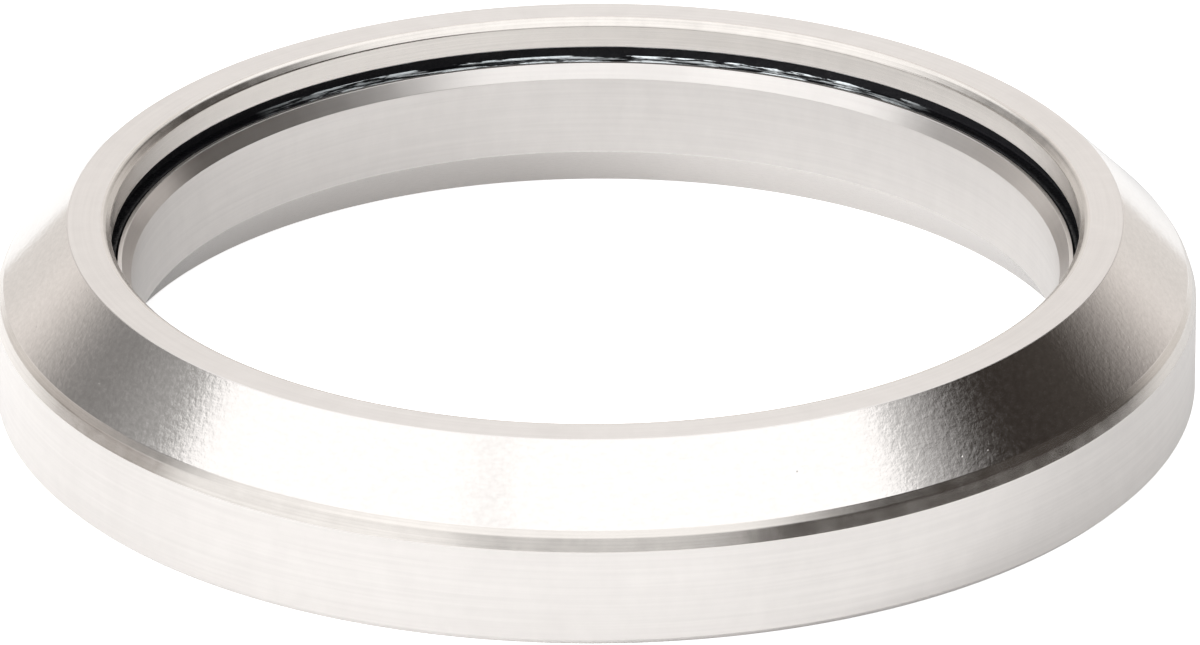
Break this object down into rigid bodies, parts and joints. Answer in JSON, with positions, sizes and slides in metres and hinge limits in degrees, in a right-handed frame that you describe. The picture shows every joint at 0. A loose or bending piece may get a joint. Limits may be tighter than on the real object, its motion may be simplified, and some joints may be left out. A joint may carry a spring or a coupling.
{
  "type": "headset bearing",
  "caption": "Sealed angular-contact headset bearing with a 45 degree outer seat, a 36 degree inner seat, and caged balls rolling between two turned steel rings.",
  "frame": {"origin": "on the bearing's axis, in the plane of the two rings' resting faces", "axes": "+Z along the axis, from the resting faces (the inner seat's end) to the ground top face (the outer seat's end); X and Y are free because the bearing is round"},
  "size_m": [0.0518, 0.0518, 0.008],
  "materials": {
    "ring_steel": "ground and turned, bare",
    "ball_steel": "lapped and polished",
    "cage_nylon": "moulded, satin",
    "seal_rubber": "moulded, greasy"
  },
  "bodies": {
    "outer": {"outer_ring": "ring_steel", "upper_seal": "seal_rubber", "lower_seal": "seal_rubber"},
    "inner": {"inner_ring": "ring_steel"},
    "cage": {"ball_cage": "cage_nylon"},
    "ball_01": {"ball_01": "ball_steel"},
    "ball_02": {"ball_02": "ball_steel"},
    "ball_03": {"ball_03": "ball_steel"},
    "ball_04": {"ball_04": "ball_steel"},
    "ball_05": {"ball_05": "ball_steel"},
    "ball_06": {"ball_06": "ball_steel"},
    "ball_07": {"ball_07": "ball_steel"},
    "ball_08": {"ball_08": "ball_steel"},
    "ball_09": {"ball_09": "ball_steel"},
    "ball_10": {"ball_10": "ball_steel"},
    "ball_11": {"ball_11": "ball_steel"},
    "ball_12": {"ball_12": "ball_steel"},
    "ball_13": {"ball_13": "ball_steel"},
    "ball_14": {"ball_14": "ball_steel"},
    "ball_15": {"ball_15": "ball_steel"},
    "ball_16": {"ball_16": "ball_steel"},
    "ball_17": {"ball_17": "ball_steel"},
    "ball_18": {"ball_18": "ball_steel"},
    "ball_19": {"ball_19": "ball_steel"},
    "ball_20": {"ball_20": "ball_steel"},
    "ball_21": {"ball_21": "ball_steel"},
    "ball_22": {"ball_22": "ball_steel"},
    "ball_23": {"ball_23": "ball_steel"},
    "ball_24": {"ball_24": "ball_steel"},
    "ball_25": {"ball_25": "ball_steel"},
    "ball_26": {"ball_26": "ball_steel"},
    "ball_27": {"ball_27": "ball_steel"},
    "ball_28": {"ball_28": "ball_steel"}
  },
  "joints": [
    {"name": "inner_spin", "type": "hinge", "parent": "outer", "child": "inner", "pos_m": [0, 0, 0], "axis": [0, 0, 1], "continuous": true},
    {"name": "cage_orbit", "type": "hinge", "parent": "outer", "child": "cage", "pos_m": [0, 0, 0], "axis": [0, 0, 1], "continuous": true},
    {"name": "ball_01_roll", "type": "hinge", "parent": "cage", "child": "ball_01", "pos_m": [0.02266, 0.00255, 0.00375], "axis": [-0.7027, -0.0792, 0.7071], "continuous": true},
    {"name": "ball_02_roll", "type": "hinge", "parent": "cage", "child": "ball_02", "pos_m": [0.02152, 0.00753, 0.00375], "axis": [-0.6674, -0.2335, 0.7071], "continuous": true},
    {"name": "ball_03_roll", "type": "hinge", "parent": "cage", "child": "ball_03", "pos_m": [0.01931, 0.01213, 0.00375], "axis": [-0.5987, -0.3762, 0.7071], "continuous": true},
    {"name": "ball_04_roll", "type": "hinge", "parent": "cage", "child": "ball_04", "pos_m": [0.01612, 0.01612, 0.00375], "axis": [-0.5, -0.5, 0.7071], "continuous": true},
    {"name": "ball_05_roll", "type": "hinge", "parent": "cage", "child": "ball_05", "pos_m": [0.01213, 0.01931, 0.00375], "axis": [-0.3762, -0.5987, 0.7071], "continuous": true},
    {"name": "ball_06_roll", "type": "hinge", "parent": "cage", "child": "ball_06", "pos_m": [0.00753, 0.02152, 0.00375], "axis": [-0.2335, -0.6674, 0.7071], "continuous": true},
    {"name": "ball_07_roll", "type": "hinge", "parent": "cage", "child": "ball_07", "pos_m": [0.00255, 0.02266, 0.00375], "axis": [-0.0792, -0.7027, 0.7071], "continuous": true},
    {"name": "ball_08_roll", "type": "hinge", "parent": "cage", "child": "ball_08", "pos_m": [-0.00255, 0.02266, 0.00375], "axis": [0.0792, -0.7027, 0.7071], "continuous": true},
    {"name": "ball_09_roll", "type": "hinge", "parent": "cage", "child": "ball_09", "pos_m": [-0.00753, 0.02152, 0.00375], "axis": [0.2335, -0.6674, 0.7071], "continuous": true},
    {"name": "ball_10_roll", "type": "hinge", "parent": "cage", "child": "ball_10", "pos_m": [-0.01213, 0.01931, 0.00375], "axis": [0.3762, -0.5987, 0.7071], "continuous": true},
    {"name": "ball_11_roll", "type": "hinge", "parent": "cage", "child": "ball_11", "pos_m": [-0.01612, 0.01612, 0.00375], "axis": [0.5, -0.5, 0.7071], "continuous": true},
    {"name": "ball_12_roll", "type": "hinge", "parent": "cage", "child": "ball_12", "pos_m": [-0.01931, 0.01213, 0.00375], "axis": [0.5987, -0.3762, 0.7071], "continuous": true},
    {"name": "ball_13_roll", "type": "hinge", "parent": "cage", "child": "ball_13", "pos_m": [-0.02152, 0.00753, 0.00375], "axis": [0.6674, -0.2335, 0.7071], "continuous": true},
    {"name": "ball_14_roll", "type": "hinge", "parent": "cage", "child": "ball_14", "pos_m": [-0.02266, 0.00255, 0.00375], "axis": [0.7027, -0.0792, 0.7071], "continuous": true},
    {"name": "ball_15_roll", "type": "hinge", "parent": "cage", "child": "ball_15", "pos_m": [-0.02266, -0.00255, 0.00375], "axis": [0.7027, 0.0792, 0.7071], "continuous": true},
    {"name": "ball_16_roll", "type": "hinge", "parent": "cage", "child": "ball_16", "pos_m": [-0.02152, -0.00753, 0.00375], "axis": [0.6674, 0.2335, 0.7071], "continuous": true},
    {"name": "ball_17_roll", "type": "hinge", "parent": "cage", "child": "ball_17", "pos_m": [-0.01931, -0.01213, 0.00375], "axis": [0.5987, 0.3762, 0.7071], "continuous": true},
    {"name": "ball_18_roll", "type": "hinge", "parent": "cage", "child": "ball_18", "pos_m": [-0.01612, -0.01612, 0.00375], "axis": [0.5, 0.5, 0.7071], "continuous": true},
    {"name": "ball_19_roll", "type": "hinge", "parent": "cage", "child": "ball_19", "pos_m": [-0.01213, -0.01931, 0.00375], "axis": [0.3762, 0.5987, 0.7071], "continuous": true},
    {"name": "ball_20_roll", "type": "hinge", "parent": "cage", "child": "ball_20", "pos_m": [-0.00753, -0.02152, 0.00375], "axis": [0.2335, 0.6674, 0.7071], "continuous": true},
    {"name": "ball_21_roll", "type": "hinge", "parent": "cage", "child": "ball_21", "pos_m": [-0.00255, -0.02266, 0.00375], "axis": [0.0792, 0.7027, 0.7071], "continuous": true},
    {"name": "ball_22_roll", "type": "hinge", "parent": "cage", "child": "ball_22", "pos_m": [0.00255, -0.02266, 0.00375], "axis": [-0.0792, 0.7027, 0.7071], "continuous": true},
    {"name": "ball_23_roll", "type": "hinge", "parent": "cage", "child": "ball_23", "pos_m": [0.00753, -0.02152, 0.00375], "axis": [-0.2335, 0.6674, 0.7071], "continuous": true},
    {"name": "ball_24_roll", "type": "hinge", "parent": "cage", "child": "ball_24", "pos_m": [0.01213, -0.01931, 0.00375], "axis": [-0.3762, 0.5987, 0.7071], "continuous": true},
    {"name": "ball_25_roll", "type": "hinge", "parent": "cage", "child": "ball_25", "pos_m": [0.01612, -0.01612, 0.00375], "axis": [-0.5, 0.5, 0.7071], "continuous": true},
    {"name": "ball_26_roll", "type": "hinge", "parent": "cage", "child": "ball_26", "pos_m": [0.01931, -0.01213, 0.00375], "axis": [-0.5987, 0.3762, 0.7071], "continuous": true},
    {"name": "ball_27_roll", "type": "hinge", "parent": "cage", "child": "ball_27", "pos_m": [0.02152, -0.00753, 0.00375], "axis": [-0.6674, 0.2335, 0.7071], "continuous": true},
    {"name": "ball_28_roll", "type": "hinge", "parent": "cage", "child": "ball_28", "pos_m": [0.02266, -0.00255, 0.00375], "axis": [-0.7027, 0.0792, 0.7071], "continuous": true}
  ],
  "couplings": [
    {"joint": "cage_orbit", "follows": "inner_spin", "ratio": 0.46923},
    {"joint": "ball_01_roll", "follows": "inner_spin", "ratio": -5.7233},
    {"joint": "ball_02_roll", "follows": "inner_spin", "ratio": -5.7233},
    {"joint": "ball_03_roll", "follows": "inner_spin", "ratio": -5.7233},
    {"joint": "ball_04_roll", "follows": "inner_spin", "ratio": -5.7233},
    {"joint": "ball_05_roll", "follows": "inner_spin", "ratio": -5.7233},
    {"joint": "ball_06_roll", "follows": "inner_spin", "ratio": -5.7233},
    {"joint": "ball_07_roll", "follows": "inner_spin", "ratio": -5.7233},
    {"joint": "ball_08_roll", "follows": "inner_spin", "ratio": -5.7233},
    {"joint": "ball_09_roll", "follows": "inner_spin", "ratio": -5.7233},
    {"joint": "ball_10_roll", "follows": "inner_spin", "ratio": -5.7233},
    {"joint": "ball_11_roll", "follows": "inner_spin", "ratio": -5.7233},
    {"joint": "ball_12_roll", "follows": "inner_spin", "ratio": -5.7233},
    {"joint": "ball_13_roll", "follows": "inner_spin", "ratio": -5.7233},
    {"joint": "ball_14_roll", "follows": "inner_spin", "ratio": -5.7233},
    {"joint": "ball_15_roll", "follows": "inner_spin", "ratio": -5.7233},
    {"joint": "ball_16_roll", "follows": "inner_spin", "ratio": -5.7233},
    {"joint": "ball_17_roll", "follows": "inner_spin", "ratio": -5.7233},
    {"joint": "ball_18_roll", "follows": "inner_spin", "ratio": -5.7233},
    {"joint": "ball_19_roll", "follows": "inner_spin", "ratio": -5.7233},
    {"joint": "ball_20_roll", "follows": "inner_spin", "ratio": -5.7233},
    {"joint": "ball_21_roll", "follows": "inner_spin", "ratio": -5.7233},
    {"joint": "ball_22_roll", "follows": "inner_spin", "ratio": -5.7233},
    {"joint": "ball_23_roll", "follows": "inner_spin", "ratio": -5.7233},
    {"joint": "ball_24_roll", "follows": "inner_spin", "ratio": -5.7233},
    {"joint": "ball_25_roll", "follows": "inner_spin", "ratio": -5.7233},
    {"joint": "ball_26_roll", "follows": "inner_spin", "ratio": -5.7233},
    {"joint": "ball_27_roll", "follows": "inner_spin", "ratio": -5.7233},
    {"joint": "ball_28_roll", "follows": "inner_spin", "ratio": -5.7233}
  ]
}
